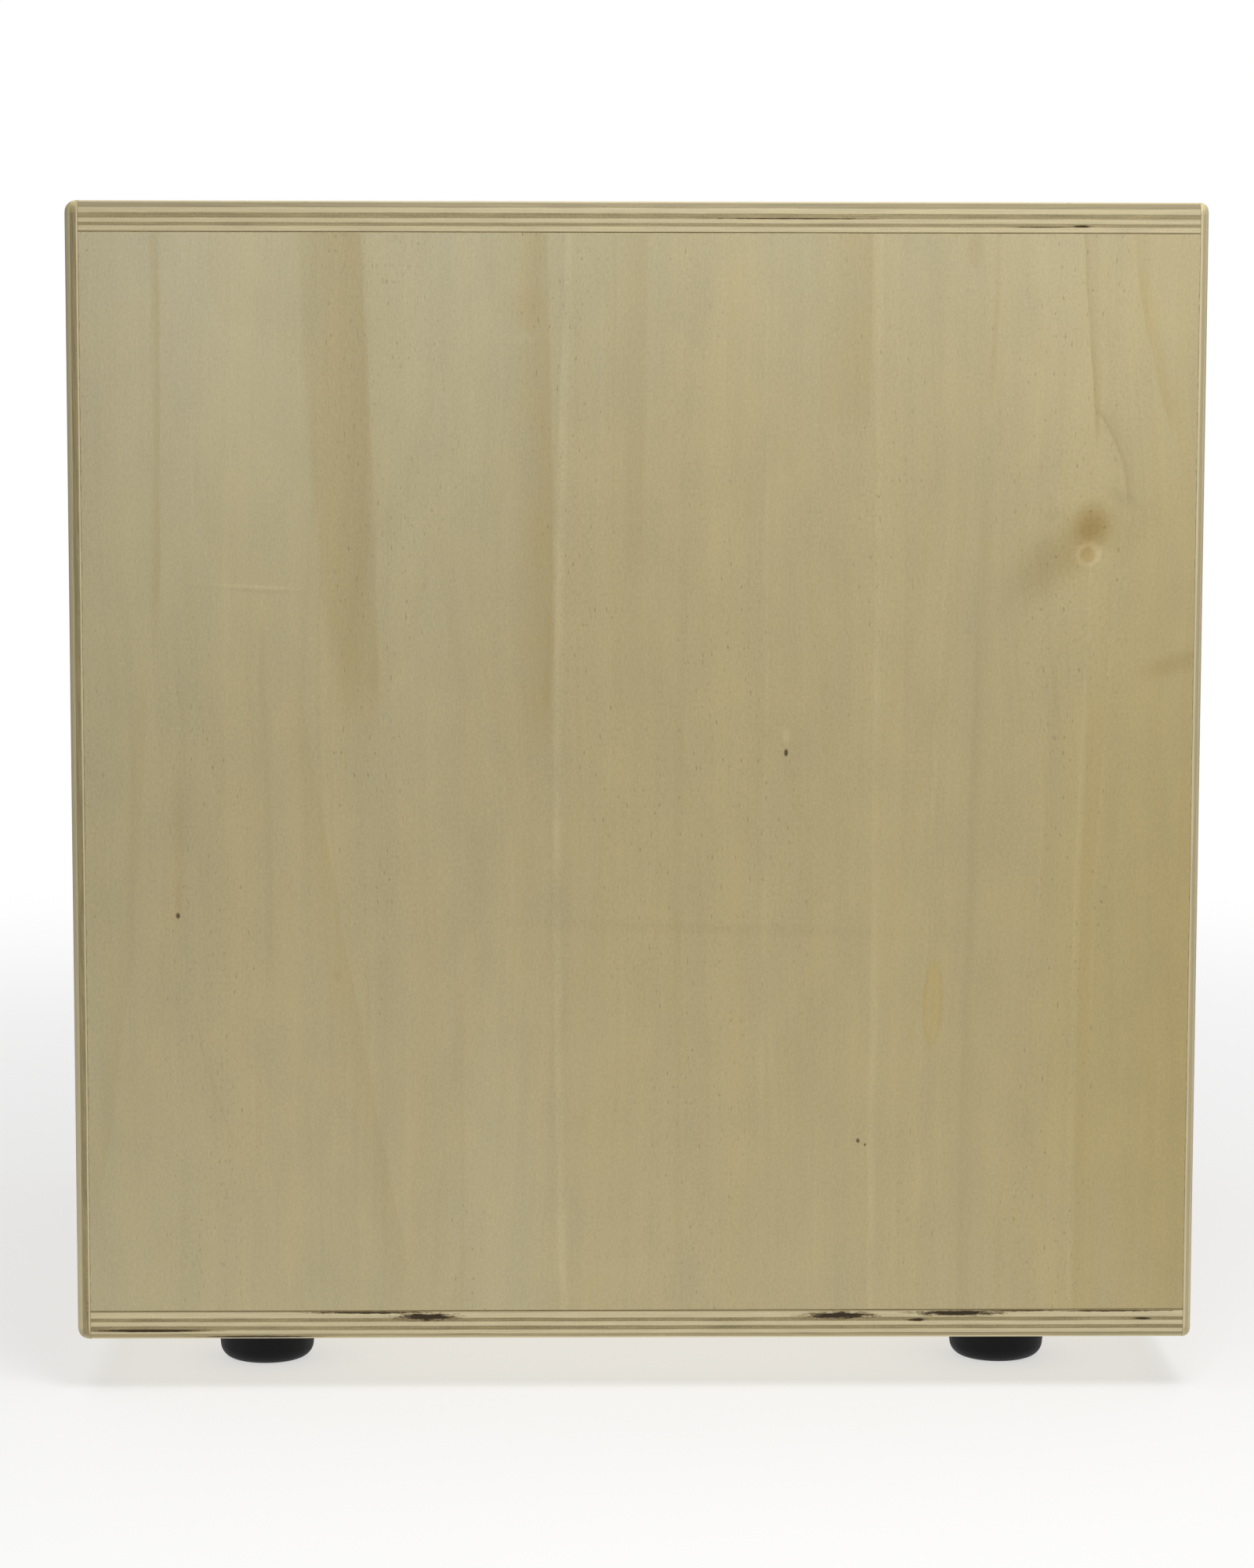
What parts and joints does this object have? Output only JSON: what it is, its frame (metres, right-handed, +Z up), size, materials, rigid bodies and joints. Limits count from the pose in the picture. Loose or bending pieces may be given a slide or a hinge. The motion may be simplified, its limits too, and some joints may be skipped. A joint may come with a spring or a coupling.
{
  "type": "cajon",
  "caption": "Compact box drum of light plywood: a glued box with screwed-on front and back plates, a round sound port, rubber feet and tensioned snare strings.",
  "frame": {"origin": "on the floor under the middle of the box", "axes": "+Z up, -Y the front with the playing plate, +X the right side as seen by someone facing the front"},
  "size_m": [0.3, 0.3, 0.318],
  "materials": {
    "board_plywood": "seven-ply light plywood, sanded, thin satin lacquer",
    "tapa_plywood": "three-ply light veneer, satin lacquer",
    "back_plywood": "three-ply light veneer, satin lacquer",
    "batten_wood": "raw sawn softwood",
    "rail_beech": "raw planed beech",
    "foot_rubber": "moulded black rubber, matt",
    "zinc_steel": "bright zinc plate",
    "plate_screw_steel": "black oxide",
    "bolt_steel": "black oxide",
    "string_steel": "wound steel",
    "string_brass": "plain brass"
  },
  "bodies": {
    "cabinet": {"top_board": "board_plywood", "bottom_board": "board_plywood", "side_panel_left": "board_plywood", "side_panel_right": "board_plywood", "tapa": "tapa_plywood", "back_panel": "back_plywood", "front_batten_left": "batten_wood", "front_batten_right": "batten_wood", "front_batten_top": "batten_wood", "front_batten_bottom": "batten_wood", "back_batten_left": "batten_wood", "back_batten_right": "batten_wood", "back_batten_top": "batten_wood", "back_batten_bottom": "batten_wood", "glue_block_top_left": "batten_wood", "glue_block_top_right": "batten_wood", "glue_block_bottom_left": "batten_wood", "glue_block_bottom_right": "batten_wood", "string_rail": "rail_beech", "guide_rail": "rail_beech", "foot_front_left": "foot_rubber", "foot_rear_left": "foot_rubber", "foot_front_right": "foot_rubber", "foot_rear_right": "foot_rubber", "foot_washers": "zinc_steel", "foot_screws": "zinc_steel", "bolt_washers": "zinc_steel", "anchor_screws": "zinc_steel", "anchor_plate": "zinc_steel", "tapa_screws": "plate_screw_steel", "back_screws": "plate_screw_steel", "string_outer_left": "string_steel", "string_inner_left": "string_steel", "string_inner_right": "string_steel", "string_outer_right": "string_steel", "ball_ends": "string_brass"},
    "tension_left": {"tension_channel_left": "zinc_steel", "tension_nut_left": "zinc_steel", "ferrules_left": "string_brass"},
    "tension_right": {"tension_channel_right": "zinc_steel", "tension_nut_right": "zinc_steel", "ferrules_right": "string_brass"},
    "bolt_left": {"tension_bolt_left": "bolt_steel"},
    "bolt_right": {"tension_bolt_right": "bolt_steel"}
  },
  "joints": [
    {"name": "left_string_tension", "type": "slide", "parent": "cabinet", "child": "tension_left", "axis": [0, 0, -1], "range_m": [-0.00125, 0.00175], "deforming": ["string_outer_left", "string_inner_left"]},
    {"name": "left_bolt_turn", "type": "hinge", "parent": "cabinet", "child": "bolt_left", "pos_m": [-0.045, -0.1383, 0.0128], "axis": [0, 0, 1], "range_deg": [-451, 631]},
    {"name": "right_string_tension", "type": "slide", "parent": "cabinet", "child": "tension_right", "axis": [0, 0, -1], "range_m": [-0.00125, 0.00175], "deforming": ["string_outer_right", "string_inner_right"]},
    {"name": "right_bolt_turn", "type": "hinge", "parent": "cabinet", "child": "bolt_right", "pos_m": [0.045, -0.1383, 0.0128], "axis": [0, 0, 1], "range_deg": [-451, 631]}
  ],
  "couplings": [
    {"joint": "left_bolt_turn", "follows": "left_string_tension", "rad_per_m": 6283.2},
    {"joint": "right_bolt_turn", "follows": "right_string_tension", "rad_per_m": 6283.2}
  ]
}
